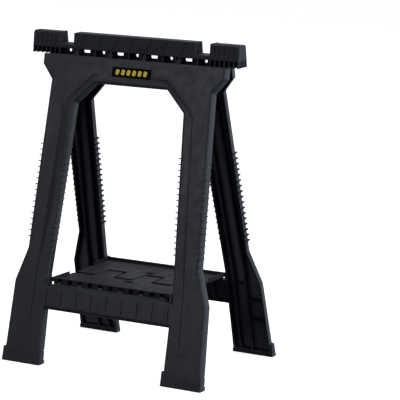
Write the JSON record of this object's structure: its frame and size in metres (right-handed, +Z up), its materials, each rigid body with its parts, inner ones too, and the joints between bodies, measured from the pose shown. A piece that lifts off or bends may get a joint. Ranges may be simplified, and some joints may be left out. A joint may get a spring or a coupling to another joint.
{
  "type": "folding sawhorse",
  "caption": "Folding plastic sawhorse: slotted top rail over splayed leg frames joined by cross-bars and a hinged, folding shelf.",
  "frame": {"origin": "on the floor, midway between the four feet, under the middle of the rail", "axes": "+X along the rail to the right seen from the front, -Y the front, +Z up"},
  "size_m": [0.574, 0.3732, 0.79],
  "materials": {
    "rail_plastic": "fine moulded texture, black",
    "body_plastic": "fine moulded texture, black",
    "boot_rubber": "matt, black",
    "pin_steel": "blackened",
    "badge_black": "smooth black plate with plain yellow bars"
  },
  "bodies": {
    "rail": {"top_rail": "rail_plastic", "front_leg_pin_1": "pin_steel", "front_leg_pin_2": "pin_steel", "front_leg_pin_3": "pin_steel", "front_leg_pin_4": "pin_steel", "rear_leg_pin_1": "pin_steel", "rear_leg_pin_2": "pin_steel", "rear_leg_pin_3": "pin_steel", "rear_leg_pin_4": "pin_steel"},
    "front_leg": {"front_leg_frame": "body_plastic", "front_badge": "badge_black", "front_boot_left": "boot_rubber", "front_boot_right": "boot_rubber", "front_shelf_rod": "pin_steel", "front_rod_cap_left": "pin_steel", "front_rod_cap_right": "pin_steel"},
    "front_shelf": {"front_shelf_half": "body_plastic"},
    "rear_leg": {"rear_leg_frame": "body_plastic", "rear_badge": "badge_black", "rear_boot_left": "boot_rubber", "rear_boot_right": "boot_rubber", "rear_shelf_rod": "pin_steel", "rear_rod_cap_left": "pin_steel", "rear_rod_cap_right": "pin_steel"},
    "rear_shelf": {"rear_shelf_half": "body_plastic"}
  },
  "joints": [
    {"name": "front_fold", "type": "hinge", "parent": "rail", "child": "front_leg", "pos_m": [0, -0.01, 0.744], "axis": [1, 0, 0], "range_deg": [0, 12.4]},
    {"name": "rear_fold", "type": "hinge", "parent": "rail", "child": "rear_leg", "pos_m": [0, 0.01, 0.744], "axis": [-1, 0, 0], "range_deg": [0, 12.4]},
    {"name": "front_shelf_fold", "type": "hinge", "parent": "front_leg", "child": "front_shelf", "pos_m": [0, -0.12692, 0.19361], "axis": [1, 0, 0], "range_deg": [0, 77.6]},
    {"name": "rear_shelf_fold", "type": "hinge", "parent": "rear_leg", "child": "rear_shelf", "pos_m": [0, 0.12692, 0.19361], "axis": [-1, 0, 0], "range_deg": [0, 77.6]}
  ],
  "couplings": [
    {"joint": "rear_fold", "follows": "front_fold", "ratio": 1},
    {"joint": "front_shelf_fold", "follows": "front_fold", "ratio": 6.258},
    {"joint": "rear_shelf_fold", "follows": "front_fold", "ratio": 6.258}
  ]
}
